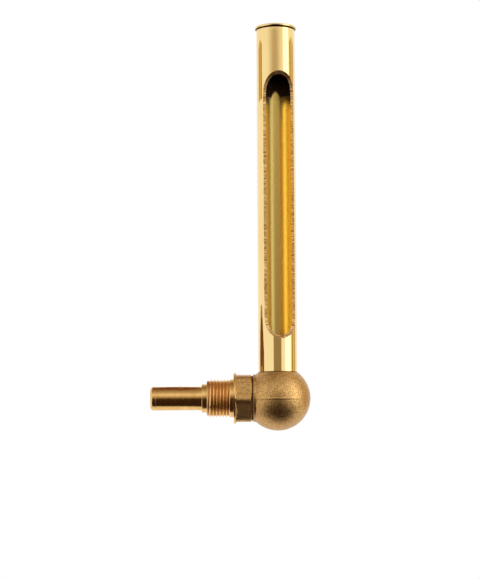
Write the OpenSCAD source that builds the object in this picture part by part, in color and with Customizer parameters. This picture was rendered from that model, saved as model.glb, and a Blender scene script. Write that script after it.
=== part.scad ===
// Right-angle gauge-glass housing: a window tube on a ball elbow, screwed in by a G 1/2 nipple.
// Origin: centre of the nipple's sealing face. +X runs from the thread to the elbow, +Z up the tube.

/* [Window tube] */
// Outside diameter of the window tube
tube_d = 21.5; // [18:0.1:26]
// Wall of the window tube
tube_wall = 1.2; // [0.8:0.1:1.8]
// Length of tube that stands above the elbow's flat
tube_above = 192.5; // [120:0.5:260]
// Length of tube that sits down in the elbow's socket
tube_in_socket = 1; // [0.6:0.1:2]

/* [Window] */
// Distance from the tube axis to the flat that the window is milled to
window_flat = 6.47; // [4:0.01:8]
// Radius of the cutter that leaves the rounded ends of the window
cutter_r = 21.5; // [12:0.5:30]
// Solid tube between the window and the tube's top end
window_top_land = 24.9; // [18:0.1:40]
// Solid tube between the window and the elbow's flat
window_bottom_land = 18.3; // [14:0.1:40]
// Angle by which the window is turned from the front towards +X
window_turn = 10.5; // [0:0.5:45]

/* [Cap] */
// How far the cap's rim stands over the tube
cap_rim_over = 0.9; // [0.3:0.1:3]
// Thickness of the cap's rim
cap_rim_t = 1.3; // [0.8:0.1:3]
// Length of the shoulder that holds the rim off the tube's end
cap_shoulder_t = 0.6; // [0.3:0.1:2]
// Length of the cap's skirt inside the tube
cap_skirt = 11; // [8:0.5:16]
// Wall of the cap's skirt
cap_wall = 2.2; // [1.8:0.1:3]

/* [Elbow] */
// Width of the ball's flat round the tube, which sets the ball's size
flat_land = 0.65; // [0.4:0.05:3]
// Wall of the hollow ball
ball_wall = 3.7; // [2.5:0.1:4.5]
// Metal between the journal's bore and the floor of the tube's socket
socket_web = 1.2; // [0.8:0.1:3]
// Thickness of the ledge under the socket
ledge_t = 1.4; // [1:0.1:2.5]
// Diameter of the collar that faces the nipple
collar_d = 26.2; // [24:0.1:30]
// Metal between the tube's socket and the collar's face
collar_wall = 2.95; // [2:0.05:6]
// Wall of the boss round the journal's bore, inside the ball
boss_wall = 2.5; // [1.5:0.1:4]

/* [Nipple] */
// Outside diameter of the pipe thread
thread_d = 20.955; // [15:0.001:30]
// Pitch of the pipe thread
thread_pitch = 1.814; // [1:0.001:2.5]
// Depth of the pipe thread
thread_depth = 1.162; // [0.6:0.001:1.5]
// Number of turns on the thread
thread_turns = 6; // [4:1:10]
// Plain land between the thread and the rim
land_l = 2.8; // [1.5:0.1:5]
// Chamfer at the start of the thread
thread_chamfer = 1; // [0.5:0.1:1.5]
// Diameter of the rim that seals
rim_d = 28; // [26:0.1:36]
// Thickness of the rim
rim_t = 0.9; // [0.6:0.1:3]
// Length of the coned shoulder behind the rim
rim_back_l = 1.5; // [0.5:0.1:4]
// Width of the hexagon across its flats
hex_af = 25.2; // [24:0.1:32]
// Length of the hexagon
hex_l = 9.1; // [6:0.1:14]
// Angle by which a corner of the hexagon is turned down from the front
hex_turn = 7; // [0:0.5:30]
// Wall of the pilot in front of the thread
pilot_wall = 1.4; // [0.8:0.1:2]
// Length of the pilot
pilot_l = 2.75; // [1:0.05:6]
// Diameter of the journal that the elbow turns on
journal_d = 14; // [13.4:0.1:15]
// Metal between the journal's bore and the floor of its O-ring groove
journal_web = 0.65; // [0.5:0.05:1.5]

/* [Immersion stem] */
// Outside diameter of the immersion tube
stem_d = 13; // [10:0.1:14]
// Wall of the immersion tube
stem_wall = 1.5; // [1:0.1:2.5]
// Length from the rim's sealing face to the closed tip
immersion_l = 45.7; // [35:0.1:120]
// Thickness of the tip plug
plug_t = 3; // [1.5:0.1:5]
// Chamfer round the tip
tip_chamfer = 1; // [0.3:0.1:1.5]
// How far the immersion tube reaches past the rim into the hexagon
stem_in_hex = 6; // [3:0.1:8]

/* [Small parts] */
// Thickness of the washer between the nipple and the elbow
washer_t = 0.7; // [0.4:0.1:1.5]
// How far that washer stays inside the hexagon's flats
washer_inset = 0.4; // [0.2:0.1:3]
// Thickness of the O-rings
oring_t = 1.5; // [1.2:0.1:2]
// Diameter of the grub screws
screw_d = 3; // [2:0.1:4]
// Length of the screw that locks the elbow
elbow_screw_l = 7; // [5:0.1:8]
// Length of the screw that locks the tube
tube_screw_l = 2.8; // [2:0.1:5]
// Width across the flats of the screws' hexagon sockets
key_af = 1.5; // [1.2:0.1:2]
// Wall of the foot ring soldered into the tube
foot_wall = 1.4; // [1.2:0.1:2.2]
// Length of the foot ring's spigot inside the tube
foot_spigot = 6; // [3:0.1:10]

/* [Clearances] */
// Radial clearance of a running fit
running = 0.05; // [0.01:0.01:0.1]
// Clearance between a loosened screw's tip and the floor of its groove
tip_gap = 0.2; // [0.1:0.05:0.5]
// Length left between neighbouring grooves
groove_land = 0.6; // [0.3:0.1:1]

/* [Hidden] */
$fn = 96;

past = 1;
tiny = 0.01;

// Grooves: a ring is squeezed from its free thickness into a groove, and a screw's point turns in one
ring_squeeze = 0.15;
groove_depth = oring_t - ring_squeeze;
groove_l = oring_t + 0.1;
screw_groove_l = 1.2;
screw_groove_depth = 0.7;
cap_groove_up = 2;
rim_back_cut = 0.5;
screw_tip_d = 1;
screw_tip_l = 0.8;

// Window tube, across its axis
tube_r = tube_d / 2;
tube_bore_r = tube_r - tube_wall;
foot_bore_r = tube_bore_r - foot_wall;
cut_depth = tube_r - window_flat;
window_runout = sqrt(2 * cutter_r * cut_depth - cut_depth * cut_depth);

// Elbow: the socket is as deep as the grooves in it need, and the ball just holds the socket
journal_l = 3 * groove_land + groove_l + (screw_groove_l + screw_d) / 2;
socket_depth = 3 * groove_land + groove_l + screw_groove_l + tube_in_socket;
socket_floor = journal_d / 2 + socket_web;
top_flat = socket_floor + socket_depth;
ball_r = sqrt(pow(top_flat, 2) + pow(tube_r + flat_land, 2));
collar_reach = tube_r + collar_wall;

// Places up the tube axis, measured from the stem axis
tube_bottom = top_flat - tube_in_socket;
tube_top = top_flat + tube_above;
window_low = top_flat + window_bottom_land;
window_high = tube_top - window_top_land;
foot_groove_z = socket_floor + groove_land;
foot_screw_z = foot_groove_z + groove_l + groove_land;
tube_screw_z = foot_screw_z + screw_groove_l / 2;

// Places along the stem axis, measured from the sealing face
washer_x = rim_t + hex_l;
collar_x = washer_x + washer_t;
axis_x = collar_x + collar_reach;
neck_groove_x = collar_x + groove_land;
neck_screw_x = neck_groove_x + groove_l + groove_land;
elbow_screw_x = neck_screw_x + screw_groove_l / 2;
journal_end_x = collar_x + journal_l;
pilot_x = -land_l - thread_turns * thread_pitch - thread_chamfer;
plug_x = -immersion_l + plug_t;

// Sizes that follow from what a piece fits to
pilot_d = stem_d + 2 * pilot_wall;
journal_bore_d = journal_d - 2 * groove_depth - 2 * journal_web;
washer_d = hex_af - 2 * washer_inset;
rim_back_d = hex_af - 2 * rim_back_cut;
tube_screw_tip = tube_r - screw_groove_depth + tip_gap;
elbow_screw_tip = journal_d / 2 - screw_groove_depth + tip_gap;
cap_rim_r = tube_r + cap_rim_over;
cap_skirt_r = tube_bore_r - running;
cap_shoulder_r = tube_r - tube_wall / 2;
cap_groove_z = tube_top - cap_skirt + cap_groove_up;
rim_edge = cap_rim_t / 4;

// A solid cylinder along +X from x
module along_x(x, l, d) {
    translate([x, 0, 0]) rotate([0, 90, 0]) cylinder(h = l, d = d);
}

// A solid cone along +X from x
module cone_x(x, l, d1, d2) {
    translate([x, 0, 0]) rotate([0, 90, 0]) cylinder(h = l, d1 = d1, d2 = d2);
}

// Moves its children to the tube axis at a height
module on_tube(z = 0) {
    translate([axis_x, 0, z]) children();
}

// A flat ring around Z
module ring(h, r_out, r_in) {
    difference() {
        cylinder(h = h, r = r_out);
        translate([0, 0, -past]) cylinder(h = h + 2 * past, r = r_in);
    }
}

// A rubber ring around Z, flattened between a groove floor and a bore
module squeezed_ring(r_out) {
    corner = oring_t / 5;
    r_in = r_out - oring_t + ring_squeeze;
    rotate_extrude()
        polygon([[r_in, corner], [r_in + corner, 0], [r_out - corner, 0], [r_out, corner],
            [r_out, oring_t - corner], [r_out - corner, oring_t], [r_in + corner, oring_t],
            [r_in, oring_t - corner]]);
}

// The milling cutter's path: a deep slab whose two ends run out on the cutter's radius
module window_cut() {
    low = window_low + window_runout;
    high = window_high - window_runout;
    rotate([0, 0, window_turn]) {
        translate([-tube_d, -window_flat - 2 * cutter_r, low]) cube([2 * tube_d, 2 * cutter_r, high - low]);
        for (z = [low, high])
            translate([-tube_d, -window_flat - cutter_r, z]) rotate([0, 90, 0])
                cylinder(h = 2 * tube_d, r = cutter_r);
    }
}

module window_tube() {
    color("goldenrod") on_tube() difference() {
        translate([0, 0, tube_bottom]) ring(tube_top - tube_bottom, tube_r, tube_bore_r);
        window_cut();
    }
}

// The turned ring in the tube's lower end, with grooves for the O-ring and the lock screw
module tube_foot_ring() {
    color("darkgoldenrod") on_tube() difference() {
        union() {
            translate([0, 0, socket_floor]) cylinder(h = tube_bottom - socket_floor, r = tube_r);
            translate([0, 0, tube_bottom - tiny]) cylinder(h = foot_spigot + tiny, r = tube_bore_r);
        }
        translate([0, 0, socket_floor - past])
            cylinder(h = tube_bottom - socket_floor + foot_spigot + 2 * past, r = foot_bore_r);
        translate([0, 0, foot_groove_z]) ring(groove_l, tube_d, tube_r - groove_depth);
        translate([0, 0, foot_screw_z]) ring(screw_groove_l, tube_d, tube_r - screw_groove_depth);
    }
}

module tube_o_ring() {
    color("dimgray") on_tube(foot_groove_z + (groove_l - oring_t) / 2) squeezed_ring(tube_r);
}

// A grub screw along +Y from its dog point, with a hexagon socket in its outer end
module lock_screw(l) {
    cone_l = (screw_d - screw_tip_d) / 2;
    key_depth = l / 3;
    rotate([-90, 0, 0]) difference() {
        union() {
            cylinder(h = screw_tip_l + tiny, d = screw_tip_d);
            translate([0, 0, screw_tip_l]) cylinder(h = cone_l, d1 = screw_tip_d, d2 = screw_d);
            translate([0, 0, screw_tip_l + cone_l]) cylinder(h = l - screw_tip_l - cone_l, d = screw_d);
        }
        translate([0, 0, l - key_depth]) cylinder(h = key_depth + past, d = key_af / cos(30), $fn = 6);
    }
}

module tube_lock_screw() {
    color("silver") translate([axis_x, tube_screw_tip, tube_screw_z]) lock_screw(tube_screw_l);
}

module elbow_lock_screw() {
    color("silver") translate([elbow_screw_x, elbow_screw_tip, 0]) lock_screw(elbow_screw_l);
}

// The pushed-in cap: rim, shoulder on the tube's end, hollow skirt with an O-ring groove
module cap() {
    color("gold") on_tube() difference() {
        union() {
            translate([0, 0, tube_top - cap_skirt]) cylinder(h = cap_skirt + tiny, r = cap_skirt_r);
            translate([0, 0, tube_top]) cylinder(h = cap_shoulder_t, r = cap_shoulder_r);
            translate([0, 0, tube_top + cap_shoulder_t - tiny]) {
                cylinder(h = rim_edge + tiny, r1 = cap_rim_r - rim_edge, r2 = cap_rim_r);
                translate([0, 0, rim_edge]) cylinder(h = cap_rim_t - 2 * rim_edge + tiny, r = cap_rim_r);
                translate([0, 0, cap_rim_t - rim_edge])
                    cylinder(h = rim_edge + tiny, r1 = cap_rim_r, r2 = cap_rim_r - rim_edge);
            }
        }
        translate([0, 0, tube_top - cap_skirt - past]) cylinder(h = cap_skirt + past, r = cap_skirt_r - cap_wall);
        translate([0, 0, cap_groove_z]) ring(groove_l, tube_r, cap_skirt_r - groove_depth);
    }
}

module cap_o_ring() {
    color("dimgray") on_tube(cap_groove_z + (groove_l - oring_t) / 2) squeezed_ring(cap_skirt_r);
}

// The hollow inside of the ball, with metal left for the socket's ledge and the journal's bore
module core() {
    difference() {
        on_tube() sphere(r = ball_r - ball_wall);
        on_tube(socket_floor - ledge_t) cylinder(h = ball_r, r = ball_r);
        along_x(collar_x, journal_l, journal_d + 2 * boss_wall);
    }
    on_tube() cylinder(h = top_flat, r = tube_bore_r);
}

module ball_elbow() {
    color("peru") difference() {
        union() {
            on_tube() sphere(r = ball_r);
            along_x(collar_x, collar_reach, collar_d);
        }
        on_tube(top_flat) cylinder(h = ball_r, r = ball_r);
        along_x(collar_x - ball_r, ball_r, 4 * ball_r);
        core();
        on_tube(socket_floor) cylinder(h = socket_depth + past, r = tube_r + running);
        along_x(collar_x - past, journal_l + past + tiny, journal_d + 2 * running);
        for (hole = [[elbow_screw_x, 0, 0], [axis_x, 0, tube_screw_z]])
            translate(hole) rotate([-90, 0, 0]) cylinder(h = ball_r, d = screw_d + 2 * running);
    }
}

module neck_washer() {
    color("saddlebrown") difference() {
        along_x(washer_x, washer_t, washer_d);
        along_x(washer_x - past, washer_t + 2 * past, journal_d + 2 * running);
    }
}

module neck_o_ring() {
    color("dimgray") translate([neck_groove_x + (groove_l - oring_t) / 2, 0, 0]) rotate([0, 90, 0])
        squeezed_ring(journal_d / 2);
}

// One groove of the pipe thread, a ring with 55 degree flanks
module thread_groove(x) {
    crest = thread_d / 2;
    floor_half = thread_pitch / 12;
    flank = thread_depth * tan(27.5);
    top_half = floor_half + flank + tiny * tan(27.5);
    translate([x, 0, 0]) rotate([0, 90, 0]) rotate_extrude()
        polygon([[crest - thread_depth, -floor_half], [crest + tiny, -top_half], [crest + tiny, top_half],
            [crest - thread_depth, floor_half]]);
}

// The hexagon along X, its corners turned down to the rim's diameter and chamfered
module hexagon() {
    corner_d = hex_af / cos(30);
    intersection() {
        translate([rim_t - tiny, 0, 0]) rotate([90 + hex_turn, 0, 0]) rotate([0, 90, 0])
            cylinder(h = hex_l + tiny, d = corner_d, $fn = 6);
        along_x(0, washer_x + past, rim_d);
        cone_x(0, washer_x, hex_af + 2 * washer_x / tan(30), hex_af);
    }
}

module hex_nipple() {
    color("goldenrod") difference() {
        union() {
            along_x(pilot_x - pilot_l, pilot_l + tiny, pilot_d);
            cone_x(pilot_x, thread_chamfer, thread_d - 2 * thread_chamfer, thread_d);
            along_x(pilot_x + thread_chamfer - tiny, -pilot_x - thread_chamfer + 2 * tiny, thread_d);
            along_x(0, rim_t, rim_d);
            cone_x(rim_t - tiny, rim_back_l + tiny, rim_d, rim_back_d);
            hexagon();
            along_x(washer_x - tiny, journal_end_x - washer_x + tiny, journal_d);
        }
        for (turn = [0 : thread_turns - 1]) thread_groove(-land_l - (turn + 0.5) * thread_pitch);
        along_x(pilot_x - pilot_l - past, -pilot_x + pilot_l + past + stem_in_hex, stem_d);
        along_x(0, journal_end_x + past, journal_bore_d);
        translate([neck_screw_x, 0, 0]) rotate([0, 90, 0])
            ring(screw_groove_l, journal_d, journal_d / 2 - screw_groove_depth);
        translate([neck_groove_x, 0, 0]) rotate([0, 90, 0])
            ring(groove_l, journal_d, journal_d / 2 - groove_depth);
    }
}

module immersion_tube() {
    color("goldenrod") difference() {
        along_x(plug_x, stem_in_hex - plug_x, stem_d);
        along_x(plug_x - past, stem_in_hex - plug_x + 2 * past, stem_d - 2 * stem_wall);
    }
}

module tip_plug() {
    color("darkgoldenrod") {
        cone_x(-immersion_l, tip_chamfer, stem_d - 2 * tip_chamfer, stem_d);
        along_x(-immersion_l + tip_chamfer - tiny, plug_t - tip_chamfer + tiny, stem_d);
        along_x(plug_x - tiny, stem_wall + tiny, stem_d - 2 * stem_wall);
    }
}

window_tube();
tube_foot_ring();
tube_o_ring();
tube_lock_screw();
cap();
cap_o_ring();
ball_elbow();
elbow_lock_screw();
neck_washer();
neck_o_ring();
hex_nipple();
immersion_tube();
tip_plug();
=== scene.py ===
# %% [markdown]
# # A brass right-angle gauge-glass housing
# The part is a long brass tube with a window, standing on a hollow ball elbow. A nipple with a hexagon
# and a right-hand pipe thread screws it into a tank, and a closed stem reaches into the liquid.
# The CAD frame gives the places and the outer sizes. Blender adds what a CAD solid can't show: curves
# with smooth reflections, the thread's helix, rounded edges, a casting's grain and the marks of tools.

# %% Load the frame
import math
import bmesh
import bpy
import numpy as np
from mathutils import Matrix, Vector


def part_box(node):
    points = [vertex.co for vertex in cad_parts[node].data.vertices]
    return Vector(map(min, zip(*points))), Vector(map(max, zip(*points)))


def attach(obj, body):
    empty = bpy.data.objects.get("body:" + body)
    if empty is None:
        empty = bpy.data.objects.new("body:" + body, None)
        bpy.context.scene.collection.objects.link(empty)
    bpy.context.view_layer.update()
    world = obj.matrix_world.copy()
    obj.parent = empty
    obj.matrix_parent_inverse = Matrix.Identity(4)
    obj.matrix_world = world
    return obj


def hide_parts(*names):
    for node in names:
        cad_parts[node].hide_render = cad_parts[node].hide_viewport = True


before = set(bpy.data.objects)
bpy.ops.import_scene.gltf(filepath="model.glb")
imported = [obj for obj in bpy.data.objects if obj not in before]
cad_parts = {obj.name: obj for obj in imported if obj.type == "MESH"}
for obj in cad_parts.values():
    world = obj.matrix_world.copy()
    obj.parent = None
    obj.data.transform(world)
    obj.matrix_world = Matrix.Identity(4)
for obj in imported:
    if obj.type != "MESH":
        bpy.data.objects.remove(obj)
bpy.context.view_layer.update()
MM = 0.001

# %% [markdown]
# ## Camera
# A long lens from a metre away keeps the tube's sides almost parallel. The camera stands a little below
# the elbow and looks slightly up. The Standard view transform shows a colour as it is written.

# %% Camera
TUBE_LO, TUBE_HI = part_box("window_tube")
BALL_LO, BALL_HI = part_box("ball_elbow")
AXIS_X = (TUBE_LO.x + TUBE_HI.x) / 2
BALL_R = BALL_HI.x - AXIS_X
CAMERA_AT = (3.8 * MM, -1078.3 * MM, -61.3 * MM)
LOOK_UP, LOOK_ROLL = math.radians(6.43), math.radians(0.29)
LENS, SENSOR = 121.87, 36.0

camera_data = bpy.data.cameras.new("camera")
camera_data.lens, camera_data.sensor_width = LENS, SENSOR
camera = bpy.data.objects.new("camera", camera_data)
camera.rotation_mode = "QUATERNION"
bpy.context.scene.collection.objects.link(camera)
aim = Matrix.Rotation(math.pi / 2 + LOOK_UP, 4, "X") @ Matrix.Rotation(-LOOK_ROLL, 4, "Z")
camera.location = CAMERA_AT
camera.rotation_quaternion = aim.to_quaternion()
bpy.context.scene.camera = camera
bpy.context.scene.view_settings.view_transform = "Standard"
print("camera: lens", LENS, "mm, looking up", round(math.degrees(LOOK_UP), 2), "degrees")

# %% [markdown]
# ## Shader expressions
# A node tree is a formula, so it is written as one. A Field wraps a socket, and its operators add Math
# nodes. A Paint is one material, and its single method `node` adds any other node.


# %% Field and Paint
class Field:
    """A value that varies over a surface. The operators + - * and their reflected forms add Math nodes."""

    def __init__(self, paint, socket):
        self.paint, self.socket = paint, socket

    def math(self, operation, left, right):
        return self.paint.node("ShaderNodeMath", {"operation": operation}, {0: left, 1: right})

    def __add__(self, other):
        return self.math("ADD", self, other)

    def __sub__(self, other):
        return self.math("SUBTRACT", self, other)

    def __rsub__(self, other):
        return self.math("SUBTRACT", other, self)

    def __mul__(self, other):
        return self.math("MULTIPLY", self, other)

    __radd__ = __add__
    __rmul__ = __mul__


class Paint:
    """One material or world: its tree, and one method that adds a node and returns its output as a Field."""

    def __init__(self, owner):
        owner.use_nodes = True
        self.tree = owner.node_tree
        self.tree.nodes.clear()

    def node(self, kind, settings=None, inputs=None, output=0):
        made = self.tree.nodes.new(kind)
        for key, value in (settings or {}).items():
            if key == "stops":
                ramp = made.color_ramp.elements
                while len(ramp) < len(value):
                    ramp.new(0.5)
                for stop, (place, colour) in zip(ramp, value):
                    stop.position, stop.color = place, colour
            else:
                setattr(made, key, value)
        for key, value in (inputs or {}).items():
            if isinstance(value, Field):
                self.tree.links.new(value.socket, made.inputs[key])
            else:
                made.inputs[key].default_value = value
        return Field(self, made.outputs[output]) if len(made.outputs) else made


def rgb(r, g, b):
    """A colour as it is seen, 0 to 255, turned into the linear values that a shader works in."""
    shown = np.array([r, g, b]) / 255
    linear = np.where(shown <= 0.04045, shown / 12.92, ((shown + 0.055) / 1.055) ** 2.4)
    return (*linear.tolist(), 1.0)


def grey(level):
    """A grey of a linear level: 1 is white."""
    return (level, level, level, 1.0)


def along(paint, axis):
    """The place along the X, Y or Z axis of the frame."""
    spot = paint.node("ShaderNodeTexCoord", output="Object")
    return paint.node("ShaderNodeSeparateXYZ", inputs={"Vector": spot}, output=axis)


def rays(paint, *kinds):
    """1 for a ray of any of the kinds, and 0 for the others."""
    shown = paint.node("ShaderNodeLightPath", output=kinds[0])
    for kind in kinds[1:]:
        ray = paint.node("ShaderNodeLightPath", output=kind)
        shown = paint.node("ShaderNodeMath", {"operation": "MAXIMUM"}, {0: shown, 1: ray})
    return shown


print("helpers: Field, Paint, rgb, grey, along and rays")

# %% [markdown]
# ## The room
# Polished brass is a mirror, so its look is the room around it. A product table has white walls on both
# sides and a dark gap where the camera stands: the gap is the dark stripe down the middle of the tube.
# The world could hold a picture of a room, but a formula of the direction is easier to tune. A ramp runs
# round the X axis, and white walls close its two ends. Higher up, the walls' edge is softer and lies a
# little to one side. Only rays that go straight to the camera see plain white everywhere.


# %% Room
def ring_stop(degrees, level):
    """A stop of the room's ramp, at an angle in the plane through the camera and the tube: 0 is towards the
    camera and 90 is straight up. What is dim in a room is warm, so green and blue fall off faster."""
    return (degrees / 360 + 0.5, (level, level**1.25, level**1.7, 1.0))


ROOM_LEVELS = {-180: 1.0, -110: 1.0, -85: 0.5, -60: 0.03, -8: 0.10, 5: 0.33, 14: 0.58, 32: 1.0, 60: 0.5,
               95: 0.2, 125: 0.6, 150: 1.0}
HIGH_FROM, HIGH_TO, HIGH_MOST = 0.12, 0.25, 0.25
HIGH_SHIFT, HIGH_SOONER, HIGH_LATER = 0.4, -1.3, 1.8
WALL_ASIDE, WALL_FROM, WALL_TO = 0.03, 0.35, 0.43
world = bpy.data.worlds.new("studio")
bpy.context.scene.world = world
room = Paint(world)
direction = room.node("ShaderNodeTexCoord", output="Generated")
across, forth, up = (room.node("ShaderNodeSeparateXYZ", inputs={"Vector": direction}, output=axis)
                     for axis in "XYZ")
round_angle = room.node("ShaderNodeMath", {"operation": "ARCTAN2"}, {0: up, 1: forth * -1.0})
gap = room.node("ShaderNodeValToRGB", {"stops": [ring_stop(*stop) for stop in ROOM_LEVELS.items()]},
                {0: round_angle * (0.5 / math.pi) + 0.5})
high = room.node("ShaderNodeMapRange", inputs={"Value": up, "From Min": HIGH_FROM, "From Max": HIGH_TO,
                                               "To Max": HIGH_MOST})
aside = room.node("ShaderNodeMath", {"operation": "ABSOLUTE"}, {0: across + high * HIGH_SHIFT + WALL_ASIDE})
wall = room.node("ShaderNodeMapRange", {"interpolation_type": "SMOOTHSTEP"}, {
    "Value": aside, "From Min": high * HIGH_SOONER + WALL_FROM, "From Max": high * HIGH_LATER + WALL_TO})
lit = room.node("ShaderNodeMix", {"data_type": "RGBA"}, {0: wall, 6: gap, 7: grey(1.0)}, 2)
straight = rays(room, "Is Camera Ray", "Is Transmission Ray")
light = room.node("ShaderNodeMix", {"data_type": "RGBA"}, {0: straight, 6: lit, 7: grey(1.0)}, 2)
background = room.node("ShaderNodeBackground", inputs={"Color": light, "Strength": 1.0})
room.node("ShaderNodeOutputWorld", inputs={"Surface": background})
print("room:", len(ROOM_LEVELS), "levels round the X axis, and two white walls")

# %% [markdown]
# ## Soft light
# One large lamp to the right and in front shapes the round pieces. A mirror shows a small lamp as a hard
# dot and a large one as a soft band, so it is a tall rectangle.


# %% Soft light
def softbox(name, size, level, at, towards):
    """A rectangular lamp that faces a point. Its level is the brightness of its face: 1 is white."""
    lamp = bpy.data.lights.new(name, "AREA")
    lamp.shape, lamp.size, lamp.size_y = "RECTANGLE", size[0], size[1]
    lamp.energy = level * math.pi * size[0] * size[1]
    holder = bpy.data.objects.new(name, lamp)
    bpy.context.scene.collection.objects.link(holder)
    holder.location = at
    holder.rotation_euler = (Vector(towards) - Vector(at)).to_track_quat("-Z", "Y").to_euler()
    holder.visible_camera = False
    print(f"{name}: {size[0]} by {size[1]} m")


TUBE_MIDDLE = (AXIS_X, 0.0, 0.09)
softbox("right_softbox", (0.9, 1.6), 1.15, (1.3, -0.65, 0.3), TUBE_MIDDLE)

# %% [markdown]
# ## Things that show only in the brass
# Fittings on a table reflect their neighbours. Bronze strips leave the narrow stripes at the tube's top
# and foot, a small ball stands for a second elbow, and a black flag below the front darkens the lower half
# of every round piece. The camera doesn't see these cards. They glow by themselves, so that a reflection
# shows just the colour that is written.


# %% Cards
def glowing(name, tone):
    """A skin that looks the same from everywhere. tone is a colour, or a function that makes a Field of
    colours from the Paint."""
    material = bpy.data.materials.new(name)
    paint = Paint(material)
    colour = tone(paint) if callable(tone) else tone
    shader = paint.node("ShaderNodeEmission", inputs={"Color": colour, "Strength": 1.0})
    paint.node("ShaderNodeOutputMaterial", inputs={"Surface": shader})
    return material


def card(name, corners, material, faces=None):
    """A card of the studio that is there only in reflections. It is one face, unless faces are given."""
    mesh = bpy.data.meshes.new(name)
    mesh.from_pydata(corners, [], faces or [tuple(range(len(corners)))])
    mesh.materials.append(material)
    made = bpy.data.objects.new(name, mesh)
    bpy.context.scene.collection.objects.link(made)
    made.visible_camera = made.visible_diffuse = made.visible_shadow = False
    print(f"{name}: {len(mesh.polygons)} faces, only in reflections")


# %% Bronze strips
BESIDE = 55 * MM


def strip(name, side, middle, half, low, high, tip, edges, lit_core):
    """A strip on edge beside the tube, from low to high, whose top narrows to a third over the length of
    the tip. It glows with the painted light and shade of a round neighbour: a lit core and two shaded edges."""
    def bronze(paint):
        off = paint.node("ShaderNodeMath", {"operation": "ABSOLUTE"},
                         {0: (along(paint, "Y") - middle) * (1 / half)})
        # Painted light and shade of a round neighbour: a lit core and shaded edges.
        stops = [(0.0, lit_core), (0.55, lit_core), (0.8, edges), (1.0, edges)]
        return paint.node("ShaderNodeValToRGB", {"stops": stops}, {0: off})

    x, shoulder = AXIS_X + side * BESIDE, high - tip
    outline = [(-1, low), (1, low), (1, shoulder), (1 / 3, high), (-1 / 3, high), (-1, shoulder)]
    card(name, [(x, middle + part * half, z) for part, z in outline],
         glowing(name.replace("strip", "bronze"), bronze))


strip("left_top_strip", -1, 11 * MM, 15 * MM, 176 * MM, 211.5 * MM, 3 * MM,
      rgb(110, 66, 36), rgb(216, 186, 124))
strip("left_foot_strip", -1, 12 * MM, 20 * MM, 12 * MM, 56 * MM, 28 * MM,
      rgb(84, 46, 24), rgb(178, 130, 70))
strip("right_strip", 1, 10 * MM, 16 * MM, -20 * MM, 213 * MM, 3 * MM,
      rgb(100, 62, 32), rgb(230, 200, 134))

# %% Second elbow and black flag
NEIGHBOUR_AT, NEIGHBOUR_R = np.array([-33, 12, 34]) * MM, 16 * MM
LOWEST, ZONE, SIDES = -60, 40, 16
turn = np.linspace(0, 2 * math.pi, SIDES, endpoint=False)
zone_faces = [(k, (k + 1) % SIDES, SIDES + (k + 1) % SIDES, SIDES + k) for k in range(SIDES)]
for start in (0, ZONE, 2 * ZONE):
    lean = np.radians([LOWEST + start, LOWEST + start + ZONE])[:, None]
    ring = np.stack([np.cos(lean) * np.cos(turn), np.cos(lean) * np.sin(turn), np.sin(lean) + 0 * turn], -1)
    card(f"left_ball_{start}", (NEIGHBOUR_AT + NEIGHBOUR_R * ring).reshape(-1, 3).tolist(),
         glowing(f"left_ball_bronze_{start}", rgb(118, 74, 42)), zone_faces)

# Each corner of the flag is a slope: how far it is to the side and to the back for each metre down.
FLAG_DEPTH = 0.24
FLAG_SLOPES = [(-1.37, -0.08), (-9.4, -26.5), (9.95, -26.5), (1.38, -0.08), (0.465, 0.122), (-0.127, 0.122),
               (-0.249, -0.08)]
card("front_flag", [(AXIS_X + side * FLAG_DEPTH, back * FLAG_DEPTH, -FLAG_DEPTH) for side, back in FLAG_SLOPES],
     glowing("black_cloth", rgb(54, 38, 30)))

# %% [markdown]
# ## Metals
# All of the housing is brass, and each way of working it leaves its own skin. The tube was drawn and
# polished, so its marks run along it. Turned pieces carry fine rings. The elbow is cast and tumbled, so
# its skin is matt and grainy. One recipe makes them all: two tones blended by a cloud, tool lines in the
# roughness and the bump, and a painted darkening: painted shade in gaps and hollows, and a darker band at the
# tube's foot.


# %% Recipe for a skin
def stretched(paint, scale, places):
    """Noise whose pattern is stretched by a Mapping node: places holds the scale along X, Y and Z."""
    spot = paint.node("ShaderNodeTexCoord", output="Object")
    where = paint.node("ShaderNodeMapping", inputs={"Vector": spot, "Scale": places})
    return paint.node("ShaderNodeTexNoise", inputs={"Vector": where, "Scale": scale, "Detail": 4.0,
                                                    "Roughness": 0.6})


DARKENED_ROUGHNESS = 0.3


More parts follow.
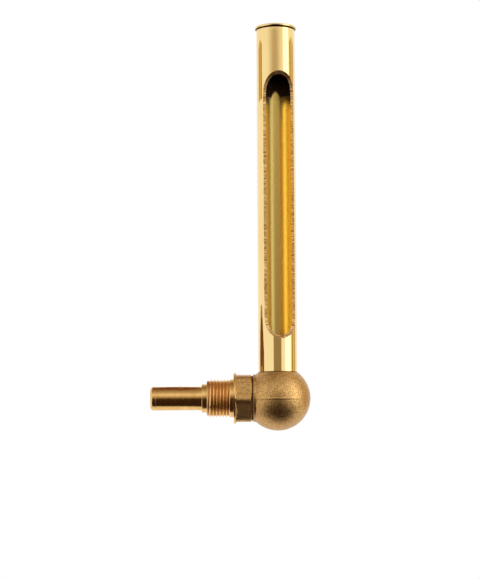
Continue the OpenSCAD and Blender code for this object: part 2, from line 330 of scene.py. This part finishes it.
def skin(name, light_tone, dark_tone, rough, marks, grain, depth, contrast=2.0, darkening=None, metallic=1.0):
    """A skin of two tones. marks and grain are (scale, (x, y, z) stretch): marks carry the tool's lines into
    the bump and the roughness, grain blends the two tones. rough is (least, most). darkening is (place, first,
    last, tone): place is a function that makes a field, and as it goes from first to last the skin darkens
    to that tone and loses its gloss. It paints the shade under the cap, in the thread's roots and inside
    the tube, and a darker band at the tube's foot."""
    material = bpy.data.materials.new(name)
    paint = Paint(material)
    lines = stretched(paint, *marks)
    blend = (stretched(paint, *grain) - 0.5) * contrast + 0.5
    tone = paint.node("ShaderNodeMix", {"data_type": "RGBA"}, {0: blend, 6: dark_tone, 7: light_tone}, 2)
    roughness = lines * (rough[1] - rough[0]) + rough[0]
    # Painted darkening: painted shade under the cap, in the thread's roots and inside the tube, and a darker
    # band at the tube's foot.
    if darkening:
        place, first, last, darkening_tone = darkening
        amount = paint.node("ShaderNodeMapRange", {"interpolation_type": "SMOOTHSTEP"}, {
            "Value": place(paint), "From Min": first, "From Max": last})
        tone = paint.node("ShaderNodeMix", {"data_type": "RGBA"}, {0: amount, 6: tone, 7: darkening_tone}, 2)
        roughness = roughness + amount * DARKENED_ROUGHNESS
    bump = paint.node("ShaderNodeBump", inputs={"Strength": 1.0, "Distance": depth, "Height": lines})
    shader = paint.node("ShaderNodeBsdfPrincipled", inputs={
        "Base Color": tone, "Metallic": metallic, "Roughness": roughness, "Normal": bump})
    paint.node("ShaderNodeOutputMaterial", inputs={"Surface": shader})
    return material


print("helpers: stretched and skin")

# %% [markdown]
# ## Where shade is painted
# Painted shade darkens the brass where little light reaches: in the line under the cap, in the thread's
# roots, and inside the tube from the window's upper end upwards. The tube is also darker and duller in a
# band round its foot, just above the ball. Each place is a field of the position on the piece, so the
# darkening moves with it.


# %% Painted shade and darkening
def height(paint):
    """The height above the stem's axis."""
    return along(paint, "Z")


def from_stem_axis(paint):
    """The distance from the stem's axis: the length of (0, y, z)."""
    spot = paint.node("ShaderNodeTexCoord", output="Object")
    flat = paint.node("ShaderNodeVectorMath", {"operation": "MULTIPLY"}, {0: spot, 1: (0.0, 1.0, 1.0)})
    return paint.node("ShaderNodeVectorMath", {"operation": "LENGTH"}, {0: flat}, "Value")


# The arch's sizes shape the painted shade inside the tube.
ARCH_STEEPNESS, ARCH_RISE = 560.0, 3.6 * MM


def under_arch(paint):
    """A height that rises with the square of the distance from the tube's middle, up to a limit, so that a
    level of it is an arch."""
    off = along(paint, "X") - AXIS_X
    arch = paint.node("ShaderNodeMath", {"operation": "MINIMUM"}, {0: off * off * ARCH_STEEPNESS, 1: ARCH_RISE})
    return height(paint) + arch


# A darker, duller band on the tube just above the ball.
FOOT_LINE = (height, BALL_HI.z + 0.60 * MM, BALL_HI.z + 0.25 * MM, rgb(96, 60, 30))
# Painted shade under the cap's rim: below the rim the cap turns dark brown and dull.
CAP_GAP_SHADE = (height, TUBE_HI.z + 0.68 * MM, TUBE_HI.z + 0.60 * MM, rgb(80, 50, 30))
# Painted shade inside the tube: above an arch over the window's upper end the bore turns dark and dull.
INSIDE_SHADE = (under_arch, TUBE_HI.z - 33.7 * MM, TUBE_HI.z - 31.7 * MM, rgb(84, 66, 54))
# Painted shade in the thread's roots: below a radius the thread turns a darker tone and duller.
THREAD_ROOT_SHADE = (from_stem_axis, 10.1 * MM, 9.4 * MM, rgb(226, 172, 110))
print("dirt: foot line, cap line, inside_shade and thread roots")

# %% Skins
ALONG_TUBE, ALONG_STEM, ALL_WAYS = (1, 1, 0.02), (1, 0.05, 0.05), (1, 1, 1)
GOLD, OLD_GOLD = rgb(251, 224, 160), rgb(244, 209, 140)
POLISHED = skin("polished_brass", GOLD, OLD_GOLD, (0.05, 0.12), (900, ALONG_TUBE), (60, (1, 1, 0.3)),
                0.001 * MM, darkening=FOOT_LINE)
# The cap's skin carries the painted shade in the gap under its rim.
CAPPED = skin("cap_brass", GOLD, OLD_GOLD, (0.05, 0.12), (900, ALL_WAYS), (60, ALL_WAYS),
              0.001 * MM, darkening=CAP_GAP_SHADE)
# The bore's skin carries the painted shade inside the tube.
DRAWN = skin("drawn_brass", rgb(251, 224, 140), rgb(229, 198, 108), (0.18, 0.32), (1400, ALONG_TUBE),
             (1500, ALL_WAYS), 0.004 * MM, darkening=INSIDE_SHADE)
MILLED = skin("milled_brass", rgb(255, 214, 146), rgb(150, 96, 50), (0.28, 0.42), (900, (0.3, 0.3, 1.5)),
              (1500, (0.3, 0.3, 1.0)), 0.02 * MM, contrast=3.5)
CAST = skin("cast_brass", rgb(233, 189, 120), rgb(172, 127, 74), (0.32, 0.46), (1500, ALL_WAYS),
            (1600, ALL_WAYS), 0.14 * MM, contrast=4.5)
TURNED = skin("turned_brass", rgb(250, 208, 134), rgb(226, 174, 102), (0.12, 0.3), (700, ALONG_STEM),
              (350, (1, 0.4, 0.4)), 0.014 * MM)
# The thread's skin carries the painted shade in its roots.
THREADED = skin("threaded_brass", rgb(255, 222, 156), rgb(236, 190, 120), (0.12, 0.24), (900, ALONG_STEM),
                (350, (1, 0.4, 0.4)), 0.001 * MM, darkening=THREAD_ROOT_SHADE)
STEEL = skin("zinc_steel", rgb(176, 176, 180), rgb(120, 120, 126), (0.3, 0.5), (1500, ALL_WAYS),
             (400, ALL_WAYS), 0.01 * MM)
RUBBER = skin("black_rubber", rgb(42, 42, 44), rgb(24, 24, 26), (0.55, 0.75), (1500, ALL_WAYS),
              (500, ALL_WAYS), 0.02 * MM, metallic=0.0)
FIBRE = skin("pressed_fibre", rgb(112, 66, 40), rgb(70, 38, 24), (0.7, 0.9), (1800, ALL_WAYS),
             (600, ALL_WAYS), 0.05 * MM, metallic=0.0)
print("skins:", [material.name for material in bpy.data.materials if "brass" in material.name])

# %% [markdown]
# ## From a grid of points to a piece
# Most pieces here are surfaces of two parameters, so each is a grid of points: rows along the piece and
# columns round it. Several grids make one closed piece: they share their edge points, which are merged.

# %% Meshes from grids
SAME_POINT, NO_LENGTH = 0.0005 * MM, 0.0002 * MM


def grid_faces(rows, columns, first):
    """Vertex numbers of the quads of one grid, row by row, as whole arrays."""
    corner = first + np.arange(rows * columns).reshape(rows, columns)
    return np.stack([corner[:-1, :-1], corner[:-1, 1:], corner[1:, 1:], corner[1:, :-1]], -1).reshape(-1, 4)


def close_up(mesh):
    """Merges points that coincide, drops what has no area left and turns all faces outwards."""
    work = bmesh.new()
    work.from_mesh(mesh)
    bmesh.ops.remove_doubles(work, verts=work.verts, dist=SAME_POINT)
    bmesh.ops.dissolve_degenerate(work, edges=work.edges, dist=NO_LENGTH)
    bmesh.ops.delete(work, geom=[edge for edge in work.edges if edge.is_wire], context="EDGES")
    bmesh.ops.recalc_face_normals(work, faces=work.faces)
    open_edges = sum(1 for edge in work.edges if not edge.is_manifold)
    if open_edges:
        print(f"  {mesh.name}: {open_edges} edges aren't closed")
    work.to_mesh(mesh)
    work.free()


def smooth(mesh, sharp):
    """Shades the mesh smooth, apart from edges that bend by more than sharp degrees."""
    mesh.polygons.foreach_set("use_smooth", np.ones(len(mesh.polygons), bool))
    mesh.set_sharp_from_angle(angle=math.radians(sharp))


def hand_over(made, body, node):
    """Lets a piece ride on a body in place of a CAD node."""
    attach(made, body)
    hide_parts(node)
    print(f"{made.name}: {len(made.data.polygons)} faces on {body}")


def piece(name, body, node, sheets, sharp=35.0):
    """Makes one closed object from (grid, material) sheets. A grid has the shape rows, columns, 3."""
    points, faces, skins, materials, count = [], [], [], [], 0
    for grid, material in sheets:
        if material not in materials:
            materials.append(material)
        quads = grid_faces(grid.shape[0], grid.shape[1], count)
        points.append(grid.reshape(-1, 3))
        faces.append(quads)
        skins.append(np.full(len(quads), materials.index(material)))
        count += grid.shape[0] * grid.shape[1]
    mesh = bpy.data.meshes.new(name)
    mesh.from_pydata(np.concatenate(points), [], np.concatenate(faces).tolist())
    for material in materials:
        mesh.materials.append(material)
    mesh.polygons.foreach_set("material_index", np.concatenate(skins).astype(np.int32))
    close_up(mesh)
    smooth(mesh, sharp)
    made = bpy.data.objects.new(name, mesh)
    bpy.context.scene.collection.objects.link(made)
    hand_over(made, body, node)


print("helpers: grid_faces, close_up, smooth, hand_over and piece")

# %% [markdown]
# ## Turned pieces
# A lathe piece is an outline carried round an axis. Real edges are never sharp, and a rounded edge is
# what catches the light, so every corner of an outline is first bent into a short curve.


# %% Lathe
def rounded(outline, radius, steps=4):
    """Bends each corner of a closed outline into a curve: a quadratic curve between two points that lie
    radius away from the corner along its two edges, or just under half an edge where that is shorter."""
    corner = np.array(outline, float)

    def towards(neighbour):
        edge = neighbour - corner
        length = np.linalg.norm(edge, axis=1)[:, None]
        return corner + edge / length * np.minimum(radius, 0.45 * length)

    start, end = towards(np.roll(corner, 1, 0)), towards(np.roll(corner, -1, 0))
    t = np.linspace(0, 1, steps + 1)[None, :, None]
    curve = (1 - t) ** 2 * start[:, None] + 2 * t * (1 - t) * corner[:, None] + t**2 * end[:, None]
    return curve.reshape(-1, 2)


def around(along, radius, axis, columns=144):
    """Carries a profile round an axis. along and radius may be rows, or rows by columns. The axis is "X",
    the stem's axis through the origin, or "Z", the tube's axis."""
    turn = np.linspace(0, 2 * math.pi, columns + 1)[None, :]
    along, radius = np.asarray(along, float), np.asarray(radius, float)
    along = along[:, None] if along.ndim == 1 else along
    radius = radius[:, None] if radius.ndim == 1 else radius
    s, r = np.broadcast_arrays(along + 0 * turn, radius + 0 * turn)
    if axis == "X":
        return np.stack([s, r * np.cos(turn), r * np.sin(turn)], -1)
    return np.stack([AXIS_X + r * np.cos(turn), r * np.sin(turn), s], -1)


def turned(name, body, node, outline, axis, material, radius=0.15 * MM, columns=144):
    """A lathe piece from a closed outline of (along, radius) points."""
    bent = rounded(outline, radius)
    bent = np.concatenate([bent, bent[:1]])
    piece(name, body, node, [(around(bent[:, 0], bent[:, 1], axis, columns), material)])


print("helpers: rounded, around and turned")

# %% [markdown]
# ## The window's outline
# The window was milled with a wide cutter that plunged in, ran along and lifted out. Its flat lies at
# one depth, and both ends run out on the cutter's radius. At a height z the cut lies y(z) from the axis,
# so the opening's half angle is arccos(y / R), on the outer wall and on the bore alike. Rows are spaced
# by that angle near the ends, where the outline turns quickly.

# %% Window's outline
TUBE_R, TUBE_WALL = (TUBE_HI.x - TUBE_LO.x) / 2, 1.2 * MM
BORE_R = TUBE_R - TUBE_WALL
WINDOW_FLAT, CUTTER_R, WINDOW_TURN = 6.47 * MM, 21.5 * MM, math.radians(10.5)
WINDOW_LOW, WINDOW_HIGH = BALL_HI.z + 18.3 * MM, TUBE_HI.z - 24.9 * MM
RUN_OUT = math.sqrt(2 * CUTTER_R * (TUBE_R - WINDOW_FLAT) - (TUBE_R - WINDOW_FLAT) ** 2)
EDGE, CHATTER = 0.2 * MM, 0.10 * MM


def end_rows(radius):
    """Distances from the window's full-depth end at which the opening in a wall grows evenly in angle."""
    half = np.linspace(0, math.acos(WINDOW_FLAT / radius), 26)
    return np.sqrt(np.maximum(CUTTER_R**2 - (WINDOW_FLAT + CUTTER_R - radius * np.cos(half)) ** 2, 0))


runs = np.unique(np.round(np.concatenate([end_rows(TUBE_R), end_rows(BORE_R)]), 8))[1:]
middle = np.linspace(WINDOW_LOW + RUN_OUT, WINDOW_HIGH - RUN_OUT, 150)
soft = np.linspace(0, EDGE, 5)
heights = np.concatenate([
    TUBE_LO.z + soft, np.linspace(TUBE_LO.z + EDGE, WINDOW_LOW, 12)[1:-1], WINDOW_LOW + RUN_OUT - runs[::-1],
    middle, WINDOW_HIGH - RUN_OUT + runs, np.linspace(WINDOW_HIGH, TUBE_HI.z - EDGE, 14)[1:-1],
    TUBE_HI.z - soft[::-1]])
past_end = np.maximum(np.maximum(middle[0] - heights, heights - middle[-1]), 0)
cut = WINDOW_FLAT + CUTTER_R - np.sqrt(CUTTER_R**2 - np.minimum(past_end, RUN_OUT) ** 2)
inside = past_end < RUN_OUT - 1e-7
half_out = np.arccos(np.clip(cut / TUBE_R, -1, 1)) * inside
half_in = np.arccos(np.clip(cut / BORE_R, -1, 1)) * inside
print("window:", round((WINDOW_HIGH - WINDOW_LOW) / MM, 1), "mm long in", len(heights), "rows")

# %% [markdown]
# ## Window tube
# Each wall of the tube is one sheet that runs from the window's right edge round the back to its left
# edge. Its two ends are rounded off by a quarter circle. The cutter chattered along the left edge, which
# is a random step every third row. The cut faces between outer wall and bore have their own milled skin.

# %% Window tube
to_end = np.minimum(heights - TUBE_LO.z, TUBE_HI.z - heights)
worn = EDGE - np.sqrt(EDGE**2 - np.maximum(EDGE - to_end, 0) ** 2)
shake = np.repeat(np.random.default_rng(7).uniform(-1, 1, len(heights) // 3 + 1), 3)[:len(heights)]
chatter = np.where(past_end == 0, CHATTER * shake / TUBE_R, 0)


def on_tube(angle, radius):
    """Points at angles from the window's middle, on circles round the tube's axis, at the rows' heights."""
    turned_by = angle - math.pi / 2 + WINDOW_TURN
    x, y = AXIS_X + radius * np.cos(turned_by), radius * np.sin(turned_by)
    return np.stack([x, y, heights[:, None] + 0 * x], -1)


def tube_wall(radius, right, left, columns=128):
    """A wall of the tube from the window's right edge round the back to its left edge, row by row."""
    u = np.linspace(0, 1, columns + 1)[None, :]
    return on_tube(right[:, None] + u * (2 * math.pi - right - left)[:, None], radius[:, None])


def between(first, second, steps=3):
    """A sheet of straight lines from each point of one edge to the same point of another."""
    t = np.linspace(0, 1, steps + 1)[None, :, None]
    return first[:, None] * (1 - t) + second[:, None] * t


outer = tube_wall(TUBE_R - worn, half_out, half_out + chatter)
inner = tube_wall(BORE_R + worn, half_in, half_in)
lip = on_tube(np.stack([half_in, -half_in], 1), np.maximum(cut, BORE_R)[:, None])
milled = np.flatnonzero(past_end <= RUN_OUT + 1e-7)
piece("window_tube_drawn", "tube", "window_tube", [
    (outer, POLISHED), (inner, DRAWN),
    (between(outer[milled, 0], lip[milled, 0]), MILLED),
    (between(outer[milled, -1], lip[milled, 1]), MILLED),
    (between(outer[0], inner[0]), TURNED), (between(outer[-1], inner[-1]), TURNED)])

# %% [markdown]
# ## Cap
# The cap is turned from bar: a rim to pull it by, a short shoulder that rests on the tube's end, and a
# hollow skirt with an O-ring. The shoulder leaves a narrow gap under the rim, and painted shade on the cap's
# skin makes it the dark line.

# %% Cap
CAP_LO, CAP_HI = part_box("cap")
RIM_R, SHOULDER_R = (CAP_HI.x - CAP_LO.x) / 2, TUBE_R - TUBE_WALL / 2
SHOULDER_T, SKIRT_WALL, GROOVE_DEPTH, GROOVE_L = 0.6 * MM, 2.2 * MM, 1.35 * MM, 1.6 * MM
RUNNING, DOME, CENTRE_R = 0.05 * MM, 0.12 * MM, 0.3 * MM
skirt_r, groove_z = BORE_R - RUNNING, CAP_LO.z + 2 * MM
top = TUBE_HI.z
turned("cap_turned", "cap", "cap", [
    (CAP_LO.z, skirt_r - SKIRT_WALL), (CAP_LO.z, skirt_r), (groove_z, skirt_r),
    (groove_z, skirt_r - GROOVE_DEPTH), (groove_z + GROOVE_L, skirt_r - GROOVE_DEPTH),
    (groove_z + GROOVE_L, skirt_r), (top, skirt_r), (top, SHOULDER_R), (top + SHOULDER_T, SHOULDER_R),
    (top + SHOULDER_T, RIM_R), (CAP_HI.z - DOME, RIM_R), (CAP_HI.z, RIM_R * 0.8), (CAP_HI.z, CENTRE_R),
    (CAP_HI.z, 0), (top, 0), (top, CENTRE_R), (top, skirt_r - SKIRT_WALL)], "Z", CAPPED, 0.5 * MM)

# %% [markdown]
# ## Rings
# A rubber ring is round before it is fitted, and flat where it presses on its groove and its bore: a
# square outline with well rounded corners shows both. The brass ring at the tube's foot turns in the
# elbow's socket. One of its grooves holds a rubber ring, and the other takes the tip of a screw.


# %% Rubber rings and foot ring
def o_ring(node, body, axis, radius):
    """A rubber ring, squeezed flat where it meets its groove and its bore."""
    low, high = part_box(node)
    start, end = (low.x, high.x) if axis == "X" else (low.z, high.z)
    inside_r = radius - GROOVE_DEPTH
    turned(node + "_rubber", body, node, [
        (start, inside_r), (start, radius), (end, radius), (end, inside_r)], axis, RUBBER, 0.6 * MM, 96)


o_ring("cap_o_ring", "cap", "Z", skirt_r)
o_ring("tube_o_ring", "tube", "Z", TUBE_R)

FOOT_LO, FOOT_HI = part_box("tube_foot_ring")
RING_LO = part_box("tube_o_ring")[0]
FOOT_WALL, SCREW_GROOVE_L, SCREW_GROOVE_DEPTH, LAND = 1.4 * MM, 1.2 * MM, 0.7 * MM, 0.6 * MM
foot_r, foot_z = BORE_R - FOOT_WALL, RING_LO.z - RUNNING
screw_z = foot_z + GROOVE_L + LAND
turned("foot_ring_turned", "tube", "tube_foot_ring", [
    (FOOT_LO.z, foot_r), (FOOT_LO.z, TUBE_R), (foot_z, TUBE_R), (foot_z, TUBE_R - GROOVE_DEPTH),
    (foot_z + GROOVE_L, TUBE_R - GROOVE_DEPTH), (foot_z + GROOVE_L, TUBE_R), (screw_z, TUBE_R),
    (screw_z, TUBE_R - SCREW_GROOVE_DEPTH), (screw_z + SCREW_GROOVE_L, TUBE_R - SCREW_GROOVE_DEPTH),
    (screw_z + SCREW_GROOVE_L, TUBE_R), (TUBE_LO.z, TUBE_R), (TUBE_LO.z, BORE_R), (FOOT_HI.z, BORE_R),
    (FOOT_HI.z, foot_r)], "Z", TURNED, 0.08 * MM)

# %% [markdown]
# ## Nipple
# The nipple is one piece of brass, so sheets in a row make it: rows run along the axis, and the radius is
# a function of the place and of the angle. A screw modifier could wind the thread, but then it would be a
# separate strip. Here the thread is a wave that moves forward one pitch each turn, which is what makes it
# a helix and not a stack of rings.

# %% Nipple's sizes
NIPPLE_LO, NIPPLE_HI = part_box("hex_nipple")
WASHER_LO, WASHER_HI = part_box("neck_washer")
THREAD_R, PITCH, THREAD_DEPTH, TURNS = 20.955 / 2 * MM, 1.814 * MM, 1.162 * MM, 6
LAND_L, CHAMFER, PILOT_R, STEM_R = 2.8 * MM, 1.0 * MM, 7.9 * MM, 6.5 * MM
RIM_T, BACK_L, JOURNAL_R, JOURNAL_BORE_R, STEM_IN = 0.9 * MM, 1.5 * MM, 7.0 * MM, 5.0 * MM, 6.0 * MM
HEX_HALF, HEX_TURN = 12.6 * MM, math.radians(7)
rim_r = (NIPPLE_HI.z - NIPPLE_LO.z) / 2
hex_end, journal_end = WASHER_LO.x, NIPPLE_HI.x
pilot_x = -LAND_L - TURNS * PITCH - CHAMFER
neck_groove, neck_screw = WASHER_HI.x + LAND, WASHER_HI.x + 2 * LAND + GROOVE_L
COLUMNS = 216
angle = np.linspace(0, 2 * math.pi, COLUMNS + 1)[None, :]
print("thread:", TURNS, "turns of", round(PITCH / MM, 3), "mm on a radius of", round(THREAD_R / MM, 3), "mm")

# %% Thread
CREST, FLANK, ROUNDING = 0.13, 0.74, 0.35
FADE_TO, FADE_L, START_SLOPE = -LAND_L + 0.55 * PITCH, 0.6 * PITCH, 0.55


def thread_radius(x):
    """A Whitworth wave that moves one pitch along the axis in each turn: flat crests, and flanks that are
    partly straight and partly a smooth step. A cone cuts its start, and it fades out into the land."""
    phase = x / PITCH + angle / (2 * math.pi)
    wave = np.abs((phase % 1) * 2 - 1)
    flank = np.clip((wave - CREST) / FLANK, 0, 1)
    valley = flank * flank * (3 - 2 * flank) * ROUNDING + flank * (1 - ROUNDING)
    fade = np.clip((FADE_TO - x) / FADE_L, 0, 1)
    start = THREAD_R - THREAD_DEPTH + START_SLOPE * (x - pilot_x)
    return np.minimum(THREAD_R - THREAD_DEPTH * valley * fade, np.maximum(start, PILOT_R))


thread_rows = np.linspace(pilot_x + 0.02 * MM, -LAND_L + FADE_L, 210)
thread_sheet = around(thread_rows[:, None] + 0 * angle, thread_radius(thread_rows[:, None]), "X", COLUMNS)
print("thread sheet:", thread_sheet.shape)

# %% [markdown]
# ## Hexagon
# A hexagon that is turned on a lathe first has round corners. So its radius is the smallest of six planes,
# the turned circle and a chamfer at the washer's end, and the rim's back is a cone that dies into the
# flats. The blend between plane and circle is what makes a worn edge.

# %% Hexagon
HEX_EDGE, CHAMFER_EDGE, HEX_CHAMFER = 0.5 * MM, 0.15 * MM, math.tan(math.radians(60))


def soft_min(a, b, width):
    """The smaller of two fields, blended over a width: a quadratic in the places where they are near."""
    near = np.clip(0.5 + 0.5 * (b - a) / width, 0, 1)
    return b * (1 - near) + a * near - width * near * (1 - near)


def hex_radius(x):
    """The smallest of the six planes, the corner circle and the chamfer, or the rim's back where it is more."""
    facet = (angle - HEX_TURN) % (math.pi / 3) - math.pi / 6
    body = soft_min(HEX_HALF / np.cos(facet), rim_r, HEX_EDGE)
    back = rim_r - (x - RIM_T) * (rim_r - HEX_HALF + HEX_EDGE) / BACK_L
    cone = HEX_HALF + (hex_end - x) * HEX_CHAMFER
    return np.minimum(soft_min(np.maximum(body, back), cone, CHAMFER_EDGE), rim_r)


hex_rows = np.concatenate([np.linspace(RIM_T + 0.03 * MM, RIM_T + BACK_L, 14),
                           np.linspace(RIM_T + BACK_L, hex_end - 1.2 * MM, 16)[1:],
                           np.linspace(hex_end - 1.2 * MM, hex_end, 14)[1:]])
hex_sheet = around(hex_rows[:, None] + 0 * angle, hex_radius(hex_rows[:, None]), "X", COLUMNS)
print("hexagon sheet:", hex_sheet.shape)


# %% Nipple
def stretch(start, end, first, last, rows=2):
    """Rows from one (x, radius) to the next, as an array of (x, radius)."""
    return np.stack([np.linspace(start, end, rows), np.linspace(first, last, rows)], 1)


def plain(rows):
    """The sheet of rows that are the same all round."""
    return around(rows[:, 0], rows[:, 1], "X", COLUMNS)


def joined(first, second):
    """The strip between the last row of one sheet and the first row of the next."""
    return np.stack([first[-1], second[0]])


pilot_sheet = plain(np.concatenate([
    stretch(NIPPLE_LO.x, NIPPLE_LO.x, STEM_R, PILOT_R - EDGE, 3),
    stretch(NIPPLE_LO.x + EDGE, pilot_x, PILOT_R, PILOT_R, 4)]))
land_sheet = plain(np.concatenate([
    stretch(thread_rows[-1], 0, THREAD_R, THREAD_R, 4)[1:], stretch(0, 0, THREAD_R, rim_r - EDGE, 4)[1:],
    stretch(EDGE / 2, RIM_T - EDGE / 2, rim_r, rim_r, 3)]))
journal_sheet = plain(rounded([
    (hex_end, HEX_HALF), (hex_end, JOURNAL_R), (neck_groove, JOURNAL_R),
    (neck_groove, JOURNAL_R - GROOVE_DEPTH), (neck_groove + GROOVE_L, JOURNAL_R - GROOVE_DEPTH),
    (neck_groove + GROOVE_L, JOURNAL_R), (neck_screw, JOURNAL_R), (neck_screw, JOURNAL_R - SCREW_GROOVE_DEPTH),
    (neck_screw + SCREW_GROOVE_L, JOURNAL_R - SCREW_GROOVE_DEPTH), (neck_screw + SCREW_GROOVE_L, JOURNAL_R),
    (journal_end, JOURNAL_R), (journal_end, JOURNAL_BORE_R), (STEM_IN, JOURNAL_BORE_R), (STEM_IN, STEM_R),
    (NIPPLE_LO.x, STEM_R), (NIPPLE_LO.x, HEX_HALF)], 0.06 * MM, 2)[3:-6])
chain = [(pilot_sheet, TURNED), (thread_sheet, THREADED), (land_sheet, TURNED), (hex_sheet, CAST),
         (journal_sheet, TURNED)]
sheets = []
for (sheet, material), (following, _) in zip(chain, chain[1:] + chain[:1]):
    sheets += [(sheet, material), (joined(sheet, following), TURNED)]
piece("hex_nipple_cut", "nipple", "hex_nipple", sheets, sharp=40)

# %% [markdown]
# ## Stem, washer and neck ring
# The closed stem is a tube soldered into the nipple with a plug in its end. Both are turned. The washer
# is pressed fibre, and all that shows of it is a brown line between hexagon and elbow.

# %% Stem, washer and neck ring
PLUG_LO, PLUG_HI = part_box("tip_plug")
STEM_LO, STEM_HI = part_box("immersion_tube")
STEM_WALL, TIP_CHAMFER = 1.5 * MM, 1.0 * MM
stem_bore, washer_r = STEM_R - STEM_WALL, (WASHER_HI.z - WASHER_LO.z) / 2
turned("immersion_tube_turned", "nipple", "immersion_tube", [
    (STEM_LO.x, stem_bore), (STEM_LO.x, STEM_R), (STEM_HI.x, STEM_R), (STEM_HI.x, stem_bore)],
    "X", TURNED, 0.03 * MM, 128)
turned("tip_plug_turned", "nipple", "tip_plug", [
    (PLUG_LO.x, 0), (PLUG_LO.x, CENTRE_R), (PLUG_LO.x, STEM_R - TIP_CHAMFER),
    (PLUG_LO.x + TIP_CHAMFER, STEM_R), (STEM_LO.x, STEM_R), (STEM_LO.x, stem_bore), (PLUG_HI.x, stem_bore),
    (PLUG_HI.x, CENTRE_R), (PLUG_HI.x, 0)], "X", TURNED, 0.25 * MM, 128)
turned("neck_washer_pressed", "nipple", "neck_washer", [
    (WASHER_LO.x, JOURNAL_R + RUNNING), (WASHER_LO.x, washer_r), (WASHER_HI.x, washer_r),
    (WASHER_HI.x, JOURNAL_R + RUNNING)], "X", FIBRE, 0.1 * MM, 128)
o_ring("neck_o_ring", "nipple", "X", JOURNAL_R)

# %% [markdown]
# ## A casting's skin
# Metal poured into sand keeps the sand's small waves, and a thin ridge where the two halves of the mould
# met. Both are small moves along the ball's radius: the mean of forty random sine waves, and a bell curve
# across a plane that leans a little.

# %% Casting's skin
CENTRE = np.array([AXIS_X, 0.0, 0.0])
VOXEL, NEAR, CLEAR_OF_COLLAR = 0.34 * MM, 0.3 * MM, 0.5 * MM
PARTING_TILT, RIDGE_H, RIDGE_W = math.tan(math.radians(4)), 0.22 * MM, 0.32 * MM
SUNK, WAVE_H = 0.06 * MM, 0.03 * MM
waves = np.random.default_rng(3)
WAVE = waves.normal(size=(40, 3)) * waves.uniform(0.25, 1.6, 40)[:, None] / MM
WAVE_PHASE = waves.uniform(0, 2 * math.pi, 40)


def unevenness(points):
    """A smooth random height at each point: twice the mean of forty sine waves in random directions."""
    return np.sin(points @ WAVE.T + WAVE_PHASE).mean(1) * 2.0


def cast_points(point):
    """Moves the points that lie on the ball to its radius, less a little, plus the waves and the ridge. The
    machined flat on top and the collar at the neck stay as they are."""
    radius = np.linalg.norm(point, axis=1)
    on_ball = (np.abs(radius - BALL_R) < NEAR) & (point[:, 2] < BALL_HI.z - NEAR)
    on_ball &= point[:, 0] > BALL_LO.x - AXIS_X + CLEAR_OF_COLLAR
    off_line = point[:, 2] - PARTING_TILT * point[:, 1]
    ridge = RIDGE_H * np.exp(-((off_line / RIDGE_W) ** 2))
    skin_r = BALL_R - SUNK + WAVE_H * unevenness(point) + ridge
    return np.where(on_ball[:, None], point / radius[:, None] * skin_r[:, None], point)


print("casting: ridge", round(RIDGE_H / MM, 2), "mm high")

# %% [markdown]
# ## Ball elbow
# The elbow is a hollow casting with holes on two sides, so it is no surface of two parameters. A copy of
# the CAD solid is remeshed into small even squares, which are fine enough to carry the casting's skin.


# %% Ball elbow
def evenly_meshed(name, node):
    """A new object with a CAD node's shape, in even squares: a voxel remesh, read back as a mesh."""
    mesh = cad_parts[node].data.copy()
    mesh.materials.clear()
    made = bpy.data.objects.new(name, mesh)
    bpy.context.scene.collection.objects.link(made)
    close_up(mesh)
    remesh = made.modifiers.new("even", "REMESH")
    remesh.mode, remesh.voxel_size = "VOXEL", VOXEL
    even = bpy.data.meshes.new_from_object(made.evaluated_get(bpy.context.evaluated_depsgraph_get()))
    made.modifiers.clear()
    made.data = even
    return made


elbow = evenly_meshed("ball_elbow_cast", "ball_elbow")
place = np.zeros(len(elbow.data.vertices) * 3)
elbow.data.vertices.foreach_get("co", place)
elbow.data.vertices.foreach_set("co", (cast_points(place.reshape(-1, 3) - CENTRE) + CENTRE).ravel())
elbow.data.update()
elbow.data.materials.append(CAST)
smooth(elbow.data, 50)
hand_over(elbow, "elbow", "ball_elbow")

# %% [markdown]
# ## Screws
# Two small set screws hold the swivels. Their CAD shapes are right, so they only get a skin of zinc-plated
# steel.

# %% Screws
for node in ("tube_lock_screw", "elbow_lock_screw"):
    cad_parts[node].data.materials.clear()
    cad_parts[node].data.materials.append(STEEL)
print("screws: zinc steel on the CAD solids")

# %% [markdown]
# ## Floor
# The floor is pale and plain. It lies below the lowest place that the tube reaches when the elbow is
# turned upside down and the cap is pulled, so no pose cuts into it. It looks white to the rays that
# reach it from the camera and from metal, and only its dull part keeps a soft shadow.

# %% Floor
FLOOR_Z, FLOOR_HALF, FLOOR_WHITE = -0.25, 4.0, 0.95
corners = [(FLOOR_HALF * x, FLOOR_HALF * y, FLOOR_Z) for x, y in ((-1, -1), (1, -1), (1, 1), (-1, 1))]
floor_mesh = bpy.data.meshes.new("floor")
floor_mesh.from_pydata(corners, [], [(0, 1, 2, 3)])
floor = bpy.data.objects.new("floor", floor_mesh)
bpy.context.scene.collection.objects.link(floor)
floor_material = bpy.data.materials.new("pale_floor")
floor_paint = Paint(floor_material)
pale = floor_paint.node("ShaderNodeBsdfDiffuse", inputs={"Color": grey(FLOOR_WHITE)})
glow = floor_paint.node("ShaderNodeEmission", inputs={"Color": grey(1.0), "Strength": 1.0})
shown = rays(floor_paint, "Is Camera Ray", "Is Glossy Ray", "Is Transmission Ray")
floor_mix = floor_paint.node("ShaderNodeMixShader", inputs={0: shown * FLOOR_WHITE, 1: pale, 2: glow})
floor_paint.node("ShaderNodeOutputMaterial", inputs={"Surface": floor_mix})
floor_mesh.materials.append(floor_material)
print("floor:", 2 * FLOOR_HALF, "m wide, at", FLOOR_Z, "m")
